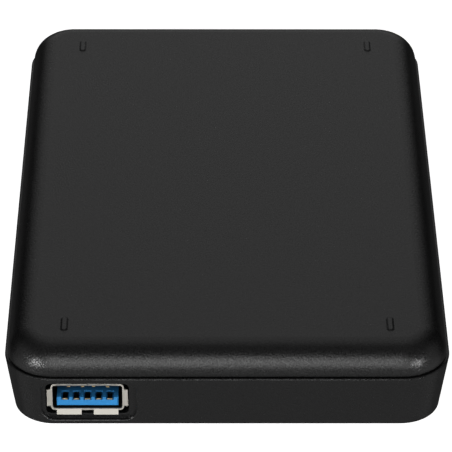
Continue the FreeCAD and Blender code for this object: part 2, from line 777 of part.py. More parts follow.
# middles of the five fast contacts and the four power contacts, across the port
FAST_SPOTS = [f"({i - FAST_CONTACTS // 2} * fast_pitch)" for i in range(FAST_CONTACTS)]
POWER_TIP = "(power_crest - power_ramp)"
POWER_SPOTS = ["(0 - power_outer)", "(0 - power_inner)", "power_inner", "power_outer"]


def port_tongue():
    body = new_body("port_tongue", PORT_X, PORT_Y, PORT_Z)
    side = "(shell_width / 2 - sheet - block_play)"
    rise = "(shell_height / 2 - sheet - block_play)"
    tongue = new_sketch(body, "XZ", "0 - tongue_setback")
    rectangle(tongue, "0 - tongue_width / 2", "tongue_width / 2", TONGUE_FOOT, TONGUE_TOP)
    pad(body, tongue, "shell_depth - tongue_setback", flip=True)
    dress(body, "Chamfer", "tongue_bevel", lambda b: near(b.YMax, "tongue_setback"))
    block = new_sketch(body, "XZ", minus(BLOCK_FRONT))
    rounded(block, minus(side), side, minus(rise), rise, "shell_corner - sheet")
    pad(body, block, f"shell_depth - {BLOCK_FRONT}", flip=True)
    # open pockets over the fast contacts
    pockets = new_sketch(body, "XY", TONGUE_TOP)
    for x in FAST_SPOTS:
        rectangle(pockets, f"{x} - fast_pocket_width / 2", f"{x} + fast_pocket_width / 2",
                  "0", "tongue_setback + fast_pocket_length")
    pocket(body, pockets, "fast_sink + strip")
    # runs for the contact strips
    for spots, width, start, sink in ((FAST_SPOTS, "fast_width", "0", "fast_sink"),
                                      (POWER_SPOTS, "power_width", POWER_TIP, "0")):
        runs = new_sketch(body, "XZ", minus(start))
        half = f"({width} / 2 + strip_play)"
        for x in spots:
            rectangle(runs, f"{x} - {half}", f"{x} + {half}", f"{TONGUE_TOP} - {sink} - strip",
                      f"{TONGUE_TOP} - {sink} + strip_play")
        pocket(body, runs, f"shell_depth - {start} + strip")
    return body


def port_fast_contacts():
    body = new_body("port_fast_contacts", PORT_X, PORT_Y, PORT_Z)
    low = f"({TONGUE_TOP} - fast_sink - strip)"
    front = "(tongue_setback + fast_setback)"
    tail = "(shell_depth + fast_tail)"
    strip = new_sketch(body, "YZ", f"{FAST_SPOTS[0]} - fast_width / 2")
    polygon(strip, [
        (front, low),
        (f"{tail} + strip", low),
        (f"{tail} + strip", TAIL_TOP),
        (tail, TAIL_TOP),
        (tail, f"{low} + strip"),
        (front, f"{low} + strip"),
    ])
    repeat(body, [pad(body, strip, "fast_width")], FAST_CONTACTS, "fast_pitch")
    return body


def port_power_contacts():
    body = new_body("port_power_contacts", PORT_X, PORT_Y, PORT_Z)
    low = f"({TONGUE_TOP} - strip)"
    tail = "(shell_depth + power_tail)"
    crest = f"({TONGUE_TOP} + power_rise)"
    path = [
        (POWER_TIP, low),
        ("power_crest", crest),
        ("power_crest + power_slope", low),
    ]
    outline = path + [
        (f"{tail} + strip", low),
        (f"{tail} + strip", TAIL_TOP),
        (tail, TAIL_TOP),
        (tail, f"{low} + strip"),
    ] + [(y, f"{z} + strip") for y, z in reversed(path)]
    pads = []
    for x in POWER_SPOTS[2:]:
        strip = new_sketch(body, "YZ", f"{x} - power_width / 2")
        polygon(strip, outline)
        pads.append(pad(body, strip, "power_width"))
    mirror(body, pads)
    return body


def bridge_board():
    body = new_body("bridge_board", z=BOARD_FOOT)
    outline = new_sketch(body, "XY")
    rounded(outline, BOARD_LEFT, BOARD_RIGHT, BOARD_FRONT, BOARD_BACK, "board_corner")
    pad(body, outline, "board_skin")
    holes = new_sketch(body, "XY", "board_skin")
    for x, y in POSTS:
        circle(holes, x, y, "board_hole_radius")
    # square holes for the port's tails
    for spots, width, tail in ((FAST_SPOTS, "fast_width", "fast_tail"),
                               (POWER_SPOTS, "power_width", "power_tail")):
        half = f"({width} / 2 + tail_play)"
        south = f"{PORT_Y} + shell_depth + {tail}"
        for x in spots:
            rectangle(holes, f"{PORT_X} + {x} - {half}", f"{PORT_X} + {x} + {half}",
                      f"{south} - tail_play", f"{south} + strip + tail_play")
    # slots for the shell's legs
    for x in (f"{PORT_X} - shell_width / 2 + sheet / 2", f"{PORT_X} + shell_width / 2 - sheet / 2"):
        rectangle(holes, f"{x} - sheet / 2 - leg_play", f"{x} + sheet / 2 + leg_play",
                  f"{PORT_Y} + leg_front - leg_play", f"{PORT_Y} + leg_front + leg_length + leg_play")
    pocket(body, holes, "board_skin")
    return body


# L-shaped section of one row of blades, with the given play all round
def blade_section(west, width, play):
    east = f"({west} + {width})"
    half = "(blade_skin / 2)"
    return [
        (f"{west} - {play}", f"(0 - {half}) - blade_key_drop - {play}"),
        (f"{west} + blade_key_width + {play}", f"(0 - {half}) - blade_key_drop - {play}"),
        (f"{west} + blade_key_width + {play}", f"(0 - {half}) - {play}"),
        (f"{east} + {play}", f"(0 - {half}) - {play}"),
        (f"{east} + {play}", f"{half} + {play}"),
        (f"{west} - {play}", f"{half} + {play}"),
    ]


# row of narrow channels through a connector block, one for each contact
def contact_channels(body, start, length, low, high):
    half = "(contact_width / 2 + contact_play)"
    for count, west, _ in BLADE_ROWS:
        sketch = new_sketch(body, "XZ", minus(start))
        x = f"({west} + blade_margin)"
        rectangle(sketch, f"{x} - {half}", f"{x} + {half}", low, high)
        repeat(body, [pocket(body, sketch, length)], count, "blade_pitch")


# row of bent contact strips with the given side outline
def contact_rows(body, outline):
    for count, west, _ in BLADE_ROWS:
        sketch = new_sketch(body, "YZ", f"{west} + blade_margin - contact_width / 2")
        polygon(sketch, outline)
        repeat(body, [pad(body, sketch, "contact_width")], count, "blade_pitch")


CONTACT_LOW = "(blade_skin / 2 + contact_skin)"
PLUG_BACK = "(plug_face + plug_block_depth)"


def drive_socket():
    body = new_body("drive_socket", PLUG_X, DRIVE_FRONT, PLUG_Z)
    block = new_sketch(body, "XY", "0 - nose_height / 2")
    rectangle(block, minus(SOCKET_HALF), SOCKET_HALF, "0 - socket_depth", "0 - drive_play")
    pad(body, block, "nose_height / 2 + socket_rise")
    nose = new_sketch(body, "XY", "0 - nose_height / 2")
    rectangle(nose, minus(NOSE_HALF), NOSE_HALF, "0 - drive_play", "nose_reach")
    pad(body, nose, "nose_height")
    for _, west, width in BLADE_ROWS:
        slot = new_sketch(body, "XZ", "0 - nose_reach")
        polygon(slot, blade_section(west, width, "blade_play"))
        pocket(body, slot, "nose_reach", flip=True)
    contact_channels(body, "0 - socket_depth", "socket_depth + nose_reach - contact_setback",
                     CONTACT_LOW, f"{CONTACT_LOW} + strip + contact_play")
    return body


def drive_socket_contacts():
    body = new_body("drive_socket_contacts", PLUG_X, DRIVE_FRONT, PLUG_Z)
    back = "(0 - socket_depth - strip)"
    contact_rows(body, [
        ("nose_reach - contact_setback", CONTACT_LOW),
        (f"{back} - strip", CONTACT_LOW),
        (f"{back} - strip", "socket_rise"),
        (back, "socket_rise"),
        (back, f"{CONTACT_LOW} + strip"),
        ("nose_reach - contact_setback", f"{CONTACT_LOW} + strip"),
    ])
    return body


def drive_plug():
    body = new_body("drive_plug", PLUG_X, DRIVE_FRONT, PLUG_Z)
    half = f"({BLADES_HALF} + plug_block_margin)"
    block = new_sketch(body, "XY", "0 - blade_skin / 2")
    rectangle(block, minus(half), half, "plug_face", PLUG_BACK)
    pad(body, block, "plug_block_height")
    for _, west, width in BLADE_ROWS:
        blade = new_sketch(body, "XZ", "0 - plug_face")
        polygon(blade, blade_section(west, width, "0"))
        pad(body, blade, "plug_face - blade_setback")
    contact_channels(body, "plug_face", "plug_block_depth", "blade_skin / 2",
                     "blade_skin / 2 + contact_skin + contact_play")
    return body


def drive_plug_contacts():
    body = new_body("drive_plug_contacts", PLUG_X, DRIVE_FRONT, PLUG_Z)
    low = "(blade_skin / 2)"
    contact_rows(body, [
        ("contact_setback", low),
        (f"{PLUG_BACK} + contact_skin", low),
        (f"{PLUG_BACK} + contact_skin", "0 - blade_skin / 2"),
        (f"{PLUG_BACK} + 2 * contact_skin", "0 - blade_skin / 2"),
        (f"{PLUG_BACK} + 2 * contact_skin", f"{low} + contact_skin"),
        ("contact_setback", f"{low} + contact_skin"),
    ])
    return body


# how many of each small part the two boards carry
MEMORY_LEADS = 4
CHIP_PARTS = 6
FLASH_CHIPS = 4
CELL_ROWS = 2
CELL_COLUMNS = 4

# the drive's lid screws, near its four corners
LID_SPOTS = [(x, y)
             for x in (f"(lid_screw_inset - {DRIVE_HALF})", f"({DRIVE_HALF} - lid_screw_inset)")
             for y in (f"({DRIVE_FRONT} + lid_screw_inset)", f"({DRIVE_BACK} - lid_screw_inset)")]


def drive_outline(sketch, inset):
    side = f"({DRIVE_HALF} - {inset})"
    rounded(sketch, minus(side), side, f"{DRIVE_FRONT} + {inset}", f"{DRIVE_BACK} - {inset}",
            f"drive_corner - {inset}")


def drive_case():
    body = new_body("drive_case")
    outline = new_sketch(body, "XY", DRIVE_FOOT)
    drive_outline(outline, "0")
    pad(body, outline, "drive_height - lid_skin")
    hollow = new_sketch(body, "XY", LID_FOOT)
    drive_outline(hollow, "drive_skin")
    pocket(body, hollow, "drive_height - lid_skin - drive_skin")
    # screw bosses, side lugs and board standoffs
    floor = f"({DRIVE_FOOT} + drive_skin)"
    bosses = new_sketch(body, "XY", floor)
    for x, y in LID_SPOTS:
        circle(bosses, x, y, "lid_boss_radius")
    pad(body, bosses, f"{LID_FOOT} - {floor}")
    lugs = new_sketch(body, "XY", floor)
    for y in LUG_SPOTS:
        south = f"{DRIVE_FRONT} + {y} - lug_length / 2"
        rectangle(lugs, f"{LUG_SIDE} - lug_width", LUG_SIDE, south, f"{south} + lug_length")
        rectangle(lugs, minus(LUG_SIDE), f"lug_width - {LUG_SIDE}", south, f"{south} + lug_length")
    pad(body, lugs, f"{LID_FOOT} - {floor}")
    standoffs = new_sketch(body, "XY", floor)
    for x in (f"(circuit_corner_inset - {CIRCUIT_HALF})", f"({CIRCUIT_HALF} - circuit_corner_inset)"):
        for y in (f"({CIRCUIT_FRONT} + circuit_corner_inset)", f"({CIRCUIT_BACK} - circuit_corner_inset)"):
            rectangle(standoffs, f"{x} - standoff_side / 2", f"{x} + standoff_side / 2",
                      f"{y} - standoff_side / 2", f"{y} + standoff_side / 2")
    pad(body, standoffs, "standoff_rise")
    # bores for the lid screws and the side mounting screws
    bores = new_sketch(body, "XY", LID_FOOT)
    for x, y in LID_SPOTS:
        circle(bores, x, y, "lid_screw_radius")
    pocket(body, bores, "lid_screw_length")
    mounts = new_sketch(body, "YZ", DRIVE_HALF)
    for y in LUG_SPOTS:
        circle(mounts, f"{DRIVE_FRONT} + {y}", f"{DRIVE_TOP} - lug_bore_rise", "lug_bore_radius")
    mirror(body, [pocket(body, mounts, "lug_bore_depth")])
    # open front for the plug
    notch = new_sketch(body, "XY", LID_FOOT)
    gap_half = f"({NOSE_HALF} + 2 * drive_play)"
    rectangle(notch, f"{PLUG_X} - {gap_half}", f"{PLUG_X} + {gap_half}",
              f"{DRIVE_FRONT} - drive_play", f"{DRIVE_FRONT} + drive_skin")
    pocket(body, notch, f"{LID_FOOT} - {PLUG_Z} + nose_height / 2 + drive_play")
    return body


def drive_lid():
    body = new_body("drive_lid")
    outline = new_sketch(body, "XY", LID_FOOT)
    drive_outline(outline, "0")
    pad(body, outline, "lid_skin")
    holes = new_sketch(body, "XY", DRIVE_TOP)
    sinks = new_sketch(body, "XY", DRIVE_TOP)
    for x, y in LID_SPOTS:
        circle(holes, x, y, "lid_screw_radius + contact_play")
        circle(sinks, x, y, "lid_head_radius + contact_play")
    pocket(body, holes, "lid_skin")
    pocket(body, sinks, "lid_head_height")
    return body


# all the drive's lid screws, heads level with the lid
def drive_screws():
    seat = f"({DRIVE_TOP} - lid_head_height)"
    screws = [screw(f"lid_screw_{i}", x, y, seat, "lid_head_radius", "lid_head_height",
                    "lid_screw_radius - contact_play", "lid_screw_length")
              for i, (x, y) in enumerate(LID_SPOTS)]
    return together("Part::Compound", "drive_screws", screws)


def board_screws():
    screws = [screw(f"board_screw_{i}", x, y, BOARD_TOP, "board_head_radius", "board_head_height",
                    "post_bore_radius - contact_play", "board_screw_length")
              for i, (x, y) in enumerate(POSTS)]
    return together("Part::Compound", "board_screws", screws)


def bridge_parts():
    y = BOARD_MIDDLE
    chip = box("bridge_chip", f"{PLUG_X} - part_pitch", y, BOARD_TOP, "bridge_side", "bridge_side",
               "bridge_height")
    crystal = box("bridge_crystal", f"{PLUG_X} + part_pitch / 2", f"{y} + part_pitch / 2", BOARD_TOP,
                  "crystal_length", "crystal_width", "crystal_height")
    behind = f"{BOARD_FRONT} + 4 * resistor_width + inductor_side / 2"
    inductor = box("bridge_inductor", f"{PLUG_X} + part_pitch / 2", behind, BOARD_TOP, "inductor_side",
                   "inductor_side", "inductor_height")
    regulator = box("bridge_regulator", f"{PLUG_X} - regulator_offset", f"{y} + part_pitch / 2", BOARD_TOP,
                    "regulator_side", "regulator_side", "regulator_height")
    # eight-lead memory chip
    x = f"({PLUG_X} + 2 * part_pitch)"
    pieces = [box("memory_block", x, y, f"{BOARD_TOP} + memory_standoff", "memory_length", "memory_width",
                  "memory_height")]
    for side in ("+", "-"):
        for i in range(MEMORY_LEADS):
            place = f"{x} + ({2 * i + 1 - MEMORY_LEADS}) * lead_pitch / 2"
            beside = f"{y} {side} (memory_width + lead_reach) / 2"
            pieces.append(box(f"lead_{len(pieces)}", place, beside, BOARD_TOP, "lead_width", "lead_reach",
                              "lead_skin + memory_standoff"))
    memory = together("Part::MultiFuse", "bridge_memory", pieces)
    # chip capacitors behind, chip resistors in front and clear of the left post
    capacitors = []
    resistors = []
    for i in range(CHIP_PARTS):
        place = f"{PLUG_X} + ({i - CHIP_PARTS // 2}) * part_pitch"
        capacitors.append(box(f"capacitor_{i}", place, f"{BOARD_BACK} - capacitor_width", BOARD_TOP,
                              "capacitor_length", "capacitor_width", "capacitor_width"))
        beside = f"{POSTS[0][0]} + {i + 1} * part_pitch"
        resistors.append(box(f"resistor_{i}", beside, f"{BOARD_FRONT} + 2 * resistor_width", BOARD_TOP,
                             "resistor_length", "resistor_width", "resistor_height"))
    return [chip, crystal, inductor, regulator, memory,
            together("Part::Compound", "bridge_capacitors", capacitors),
            together("Part::Compound", "bridge_resistors", resistors)]


def drive_circuit():
    middle = f"(({CIRCUIT_FRONT} + {CIRCUIT_BACK}) / 2)"
    board = box("drive_board", "0", middle, CIRCUIT_FOOT, f"2 * {CIRCUIT_HALF}", "circuit_length",
                "circuit_skin")
    row = f"({CIRCUIT_FRONT} + plug_block_depth + chip_margin + controller_side / 2)"
    x = f"(chip_margin + controller_side / 2 - {CIRCUIT_HALF})"
    controller = box("drive_controller", x, row, CIRCUIT_TOP, "controller_side", "controller_side",
                     "controller_height")
    pad_foot = f"({CIRCUIT_TOP} + controller_height)"
    heat = box("heat_pad", x, row, pad_foot, "controller_side", "controller_side", f"{LID_FOOT} - {pad_foot}")
    buffer_x = f"({x} + controller_side / 2 + 2 * chip_margin + buffer_width / 2)"
    buffer_chip = box("drive_buffer", buffer_x, row, CIRCUIT_TOP, "buffer_width", "buffer_length",
                      "flash_height")
    flash_y = f"({CIRCUIT_BACK} - chip_margin - flash_length / 2)"
    flash = [box(f"flash_{i}", f"({2 * i + 1 - FLASH_CHIPS}) * flash_pitch / 2", flash_y, CIRCUIT_TOP,
                 "flash_width", "flash_length", "flash_height") for i in range(FLASH_CHIPS)]
    cells_x = f"({buffer_x} + buffer_width / 2 + 2 * chip_margin)"
    cells = [box(f"cell_{i}_{j}", f"{cells_x} + {i} * cell_pitch", f"{row} + {j} * cell_pitch", CIRCUIT_TOP,
                 "cell_length", "cell_width", "cell_height")
             for j in range(CELL_ROWS) for i in range(CELL_COLUMNS)]
    return [board, controller, heat, buffer_chip,
            together("Part::Compound", "drive_flash_chips", flash),
            together("Part::Compound", "drive_capacitors", cells)]


nodes = [
    base_tray(),
    top_cover(),
    foam_pad(),
    port_shell(),
    port_tongue(),
    port_fast_contacts(),
    port_power_contacts(),
    bridge_board(),
    board_screws(),
    *bridge_parts(),
    drive_socket(),
    drive_socket_contacts(),
    drive_plug(),
    drive_plug_contacts(),
    drive_case(),
    drive_lid(),
    drive_screws(),
    *drive_circuit(),
]
doc.recompute()

failed = [item.Name for item in doc.Objects if {"Invalid", "Error"} & set(item.State)]
failed += [node.Label for node in nodes if node.Shape.isNull() or not node.Shape.isValid()]
if failed:
    raise RuntimeError(f"not sound: {failed}")
os.makedirs("parts", exist_ok=True)
for node in nodes:
    node.Shape.exportStep(f"parts/{node.Label}.step")
    print(node.Label, len(node.Shape.Solids), "solids", round(node.Shape.Volume, 2), "mm3")
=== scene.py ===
import bmesh
import bpy
import json
import math
from mathutils import Matrix, Vector

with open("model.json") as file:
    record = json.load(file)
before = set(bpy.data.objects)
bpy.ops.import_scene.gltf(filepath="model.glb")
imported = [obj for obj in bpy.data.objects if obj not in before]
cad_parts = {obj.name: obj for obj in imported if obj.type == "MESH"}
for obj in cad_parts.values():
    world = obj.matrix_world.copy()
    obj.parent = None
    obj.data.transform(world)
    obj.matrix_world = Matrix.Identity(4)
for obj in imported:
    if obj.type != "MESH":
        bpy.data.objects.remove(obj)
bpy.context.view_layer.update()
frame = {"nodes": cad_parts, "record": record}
nodes = frame["nodes"]
mm = 0.001
print("frame loaded with", len(nodes), "pieces")


# small helpers for node trees

def addNode(tree, kind, settings=None, values=None):
    node = tree.nodes.new(kind)
    for name, value in (settings or {}).items():
        setattr(node, name, value)
    for socket, value in (values or {}).items():
        node.inputs[socket].default_value = value
    return node


def join(tree, source, target):
    tree.links.new(source, target)


# puts a number or colour on a socket, or links another socket to it
def feed(tree, value, target):
    if isinstance(value, bpy.types.NodeSocket):
        join(tree, value, target)
    else:
        target.default_value = value


# maths node whose inputs are numbers or sockets
def reckon(tree, operation, *inputs):
    node = addNode(tree, "ShaderNodeMath", {"operation": operation})
    for place, value in enumerate(inputs):
        feed(tree, value, node.inputs[place])
    return node.outputs[0]


# two values added up, each times its share
def addShares(tree, first, firstShare, second, secondShare):
    return reckon(tree, "MULTIPLY_ADD", first, firstShare, reckon(tree, "MULTIPLY", second, secondShare))


mixSockets = {"given": (0, 6, 7), "made": 2}  # factor and two colours of a colour mix, and its result


def blendColours(tree, factor, first, second):
    node = addNode(tree, "ShaderNodeMix", {"data_type": "RGBA"})
    for place, value in zip(mixSockets["given"], (factor, first, second)):
        feed(tree, value, node.inputs[place])
    return node.outputs[mixSockets["made"]]


def opaque(colour):
    return (*colour, 1)


# value eased from 0 to 1 between two limits
def ease(tree, value, low, high):
    node = addNode(tree, "ShaderNodeMapRange", {"interpolation_type": "SMOOTHSTEP"})
    for socket, given in zip(("Value", "From Min", "From Max"), (value, low, high)):
        feed(tree, given, node.inputs[socket])
    return node.outputs[0]


noiseMiddle = 0.5  # a noise spreads to both sides of this


def noise(tree, place, scale, detail=2.0, rough=0.5):
    node = addNode(tree, "ShaderNodeTexNoise", values={"Detail": detail, "Roughness": rough})
    join(tree, place, node.inputs["Vector"])
    feed(tree, scale, node.inputs["Scale"])
    return node.outputs["Fac"]


# mask of the faces that look along one axis, either way
def facesAlong(tree, axis, limits):
    normal = addNode(tree, "ShaderNodeSeparateXYZ")
    join(tree, addNode(tree, "ShaderNodeNewGeometry").outputs["Normal"], normal.inputs[0])
    return ease(tree, reckon(tree, "ABSOLUTE", normal.outputs[axis]), *limits)


def newGroup(name, inputs, outputs):
    group = bpy.data.node_groups.new(name, "ShaderNodeTree")
    for label, start in inputs.items():
        socket = group.interface.new_socket(label, in_out="INPUT", socket_type="NodeSocketFloat")
        socket.default_value = start
    for label, kind in outputs.items():
        group.interface.new_socket(label, in_out="OUTPUT", socket_type=kind)
    return group, addNode(group, "NodeGroupInput"), addNode(group, "NodeGroupOutput")


# shared effects, with lengths in millimetres

grainMix = {"fineDetail": 3.0, "fineRough": 0.62, "clumpScale": 0.31, "clumpHeight": 0.2, "fineHeight": 0.8,
            "driftDetail": 1.0, "driftTone": 0.5, "clumpTone": 0.5}


# spark-eroded grain of a mould: fine pits in height and gloss, and a slow drift in tone
def makeMouldGrain():
    group, given, made = newGroup(
        "mouldGrain",
        {"Grain": 0.3, "Drift": 9.0, "Tone Spread": 0.2, "Gloss Spread": 0.06},
        {"Tone": "NodeSocketFloat", "Gloss": "NodeSocketFloat", "Height": "NodeSocketFloat"})
    place = addNode(group, "ShaderNodeTexCoord").outputs["Object"]
    fineScale = reckon(group, "DIVIDE", 1 / mm, given.outputs["Grain"])
    clumpScale = reckon(group, "MULTIPLY", fineScale, grainMix["clumpScale"])
    driftScale = reckon(group, "DIVIDE", 1 / mm, given.outputs["Drift"])
    fine = noise(group, place, fineScale, grainMix["fineDetail"], grainMix["fineRough"])
    clump = noise(group, place, clumpScale)
    drift = noise(group, place, driftScale, grainMix["driftDetail"])
    height = addShares(group, clump, grainMix["clumpHeight"], fine, grainMix["fineHeight"])
    tone = addShares(group, drift, grainMix["driftTone"], clump, grainMix["clumpTone"])
    tone = reckon(group, "SUBTRACT", tone, noiseMiddle)
    tone = reckon(group, "MULTIPLY_ADD", tone, given.outputs["Tone Spread"], 1.0)
    gloss = reckon(group, "SUBTRACT", fine, noiseMiddle)
    gloss = reckon(group, "MULTIPLY", gloss, given.outputs["Gloss Spread"])
    for label, value in {"Tone": tone, "Gloss": gloss, "Height": height}.items():
        join(group, value, made.inputs[label])
    return group


edgeMask = {"samples": 6, "limits": (0.01, 0.16)}


# softened edges: a normal that rounds them and a mask that marks where they are
def makeSoftEdge():
    group, given, made = newGroup(
        "softEdge", {"Radius": 0.1}, {"Edge": "NodeSocketFloat", "Normal": "NodeSocketVector"})
    bevel = addNode(group, "ShaderNodeBevel", {"samples": edgeMask["samples"]})
    join(group, reckon(group, "MULTIPLY", given.outputs["Radius"], mm), bevel.inputs["Radius"])
    plain = addNode(group, "ShaderNodeNewGeometry").outputs["Normal"]
    across = addNode(group, "ShaderNodeVectorMath", {"operation": "DOT_PRODUCT"})
    join(group, bevel.outputs["Normal"], across.inputs[0])
    join(group, plain, across.inputs[1])
    turned = reckon(group, "SUBTRACT", 1.0, across.outputs["Value"])
    join(group, ease(group, turned, *edgeMask["limits"]), made.inputs["Edge"])
    join(group, bevel.outputs["Normal"], made.inputs["Normal"])
    return group


lineMix = {"stainDetail": 3.0, "lineTone": 0.4, "stainTone": 0.6, "glossSpread": 0.4}


# rolled or brushed sheet: fine lines drawn out along X, with a slow stain
def makeDrawnLines():
    group, given, made = newGroup(
        "drawnLines", {"Line": 0.06, "Length": 3.0, "Stain": 2.5},
        {"Tone": "NodeSocketFloat", "Gloss": "NodeSocketFloat", "Height": "NodeSocketFloat"})
    place = addNode(group, "ShaderNodeTexCoord").outputs["Object"]
    across = reckon(group, "DIVIDE", 1 / mm, given.outputs["Line"])
    along = reckon(group, "DIVIDE", 1 / mm, given.outputs["Length"])
    stainScale = reckon(group, "DIVIDE", 1 / mm, given.outputs["Stain"])
    stretch = addNode(group, "ShaderNodeCombineXYZ")
    for axis, scale in {"X": along, "Y": across, "Z": across}.items():
        join(group, scale, stretch.inputs[axis])
    drawn = addNode(group, "ShaderNodeVectorMath", {"operation": "MULTIPLY"})
    join(group, place, drawn.inputs[0])
    join(group, stretch.outputs[0], drawn.inputs[1])
    lines = noise(group, drawn.outputs[0], 1.0)
    stain = noise(group, place, stainScale, lineMix["stainDetail"])
    tone = addShares(group, lines, lineMix["lineTone"], stain, lineMix["stainTone"])
    gloss = reckon(group, "SUBTRACT", tone, noiseMiddle)
    gloss = reckon(group, "MULTIPLY", gloss, lineMix["glossSpread"])
    for label, value in {"Tone": tone, "Gloss": gloss, "Height": lines}.items():
        join(group, value, made.inputs[label])
    return group


portMouth = min(corner[1] for corner in nodes["port_tongue"].bound_box)  # along Y


# painted shade inside the port: a light factor that multiplies the colour, 1 at its mouth, less with the
# distance inward
def makePortShade():
    group, given, made = newGroup(
        "portShade", {"Start": 0.1, "End": 3.0, "Depth": 0.8}, {"Light": "NodeSocketFloat"})
    place = addNode(group, "ShaderNodeSeparateXYZ")
    join(group, addNode(group, "ShaderNodeTexCoord").outputs["Object"], place.inputs[0])
    inward = reckon(group, "SUBTRACT", place.outputs["Y"], portMouth)
    inward = reckon(group, "DIVIDE", inward, mm)
    shade = ease(group, inward, given.outputs["Start"], given.outputs["End"])
    shade = reckon(group, "MULTIPLY", shade, given.outputs["Depth"])
    join(group, reckon(group, "SUBTRACT", 1.0, shade), made.inputs["Light"])
    return group


mouldGrain = makeMouldGrain()
softEdge = makeSoftEdge()
drawnLines = makeDrawnLines()
portShade = makePortShade()
print("shared effects ready")


# places a shared effect in a material with its own values
def useEffect(tree, group, values):
    node = addNode(tree, "ShaderNodeGroup", {"node_tree": group})
    for label, value in values.items():
        node.inputs[label].default_value = value
    return node.outputs


# material with a principled surface; plain settings go straight on its sockets
def newFinish(name, plain):
    material = bpy.data.materials.new(name)
    material.use_nodes = True
    tree = material.node_tree
    surface = tree.nodes["Principled BSDF"]
    for socket, value in plain.items():
        surface.inputs[socket].default_value = value
    return material, tree, surface


def addBump(tree, surface, height, distance, strength, normal=None):
    bump = addNode(tree, "ShaderNodeBump", values={"Strength": strength, "Distance": distance * mm})
    join(tree, height, bump.inputs["Height"])
    if normal is not None:
        join(tree, normal, bump.inputs["Normal"])
    join(tree, bump.outputs["Normal"], surface.inputs["Normal"])


def scaleColour(tree, colour, factor):
    node = addNode(tree, "ShaderNodeVectorMath", {"operation": "SCALE"})
    feed(tree, colour, node.inputs[0])
    join(tree, factor, node.inputs["Scale"])
    return node.outputs[0]


# colour that turns into a lighter one along the edges: partly wear, partly a painted edge highlight
def paintEdgeWearAndHighlight(tree, colour, edge, look):
    wearAndHighlightShare = reckon(tree, "MULTIPLY", edge["Edge"], look["wearAndHighlight"])
    return blendColours(tree, wearAndHighlightShare, colour, opaque(look["wearAndHighlightColour"]))


# colour of the surface, with shade painted into it where the piece reaches into the port
def setColour(tree, surface, colour, look):
    if "shade" in look:
        light = useEffect(tree, portShade, look["shade"])["Light"]
        colour = scaleColour(tree, colour, light)
    join(tree, colour, surface.inputs["Base Color"])


plainSpecular = 0.5  # for a plastic that has no level of its own


# any moulded plastic: grain, drift in tone, softened edges that catch light, and a lighter colour along the
# edges that is partly wear and partly painted highlight
def plasticFinish(name, look):
    specular = look.get("specular", plainSpecular)
    material, tree, surface = newFinish(name, {"IOR": look["ior"], "Specular IOR Level": specular})
    grain = useEffect(tree, mouldGrain, {"Grain": look["grain"], "Tone Spread": look["toneSpread"],
                                         "Gloss Spread": look["glossSpread"]})
    edge = useEffect(tree, softEdge, {"Radius": look["edge"]})
    body = scaleColour(tree, look["colour"], grain["Tone"])
    setColour(tree, surface, paintEdgeWearAndHighlight(tree, body, edge, look), look)
    rough = reckon(tree, "ADD", grain["Gloss"], look["rough"])
    if "graze" in look:
        # the grain turns matt when it is seen along the surface
        layer = addNode(tree, "ShaderNodeLayerWeight", values={"Blend": look["grazeBlend"]})
        along = ease(tree, layer.outputs["Facing"], *look["graze"])
        rough = reckon(tree, "MULTIPLY_ADD", along, look["grazeRough"], rough)
    join(tree, rough, surface.inputs["Roughness"])
    addBump(tree, surface, grain["Height"], look["depth"], look["bump"], edge["Normal"])
    return material


# any bare or plated metal: drawn lines, stain, brighter edges that are partly wear and partly painted
# highlight
def metalFinish(name, look):
    material, tree, surface = newFinish(name, {"Metallic": 1.0})
    lines = useEffect(tree, drawnLines, {"Line": look["line"], "Length": look["length"],
                                         "Stain": look["stain"]})
    edge = useEffect(tree, softEdge, {"Radius": look["edge"]})
    body = blendColours(tree, lines["Tone"], opaque(look["dark"]), opaque(look["light"]))
    setColour(tree, surface, paintEdgeWearAndHighlight(tree, body, edge, look), look)
    join(tree, reckon(tree, "ADD", lines["Gloss"], look["rough"]), surface.inputs["Roughness"])
    addBump(tree, surface, lines["Height"], look["depth"], look["bump"], edge["Normal"])
    return material


# case: black moulding with a fine spark-eroded grain
caseLook = {"colour": (0.0035, 0.0035, 0.0036), "rough": 0.31, "ior": 1.5, "grain": 0.3, "toneSpread": 0.2,
            "glossSpread": 0.6, "depth": 0.1, "bump": 0.7, "edge": 0.06, "wearAndHighlight": 0.08,
            "wearAndHighlightColour": (0.015, 0.015, 0.015), "graze": (0.57, 0.8), "grazeBlend": 0.5, "grazeRough": 0.28}
casePlastic = plasticFinish("caseBlackMoulding", caseLook)

# port: satin plated sheet, blue tongue, gold contacts, with shade painted into the colour of what lies inside
# the port and a painted highlight along the sheet's edges
portSteelLook = {"dark": (0.45, 0.43, 0.39), "light": (0.65, 0.625, 0.57), "rough": 0.62, "line": 0.05,
                 "length": 1.2, "stain": 1.0, "depth": 0.004, "bump": 0.3, "edge": 0.08, "wearAndHighlight": 0.6,
                 "wearAndHighlightColour": (0.86, 0.84, 0.8), "shade": {"Start": -0.05, "End": 0.5, "Depth": 0.96}}
portSteel = metalFinish("portPlatedSheet", portSteelLook)
portBlueLook = {"colour": (0.026, 0.19, 0.45), "rough": 0.42, "ior": 1.5, "grain": 0.12, "toneSpread": 0.3,
                "glossSpread": 0.1, "depth": 0.006, "bump": 0.3, "edge": 0.08, "wearAndHighlight": 0.3,
                "wearAndHighlightColour": (0.08, 0.29, 0.58), "specular": 0.2,
                "shade": {"Start": 0.0, "End": 4.5, "Depth": 0.85}}
portBlue = plasticFinish("portBlueMoulding", portBlueLook)
contactLook = {"dark": (0.62, 0.43, 0.2), "light": (0.93, 0.73, 0.42), "rough": 0.3, "line": 0.03,
               "length": 0.8, "stain": 0.8, "depth": 0.002, "bump": 0.3, "edge": 0.05, "wearAndHighlight": 0.5,
               "wearAndHighlightColour": (0.96, 0.88, 0.74)}
contactGold = metalFinish("contactGoldPlate", contactLook)
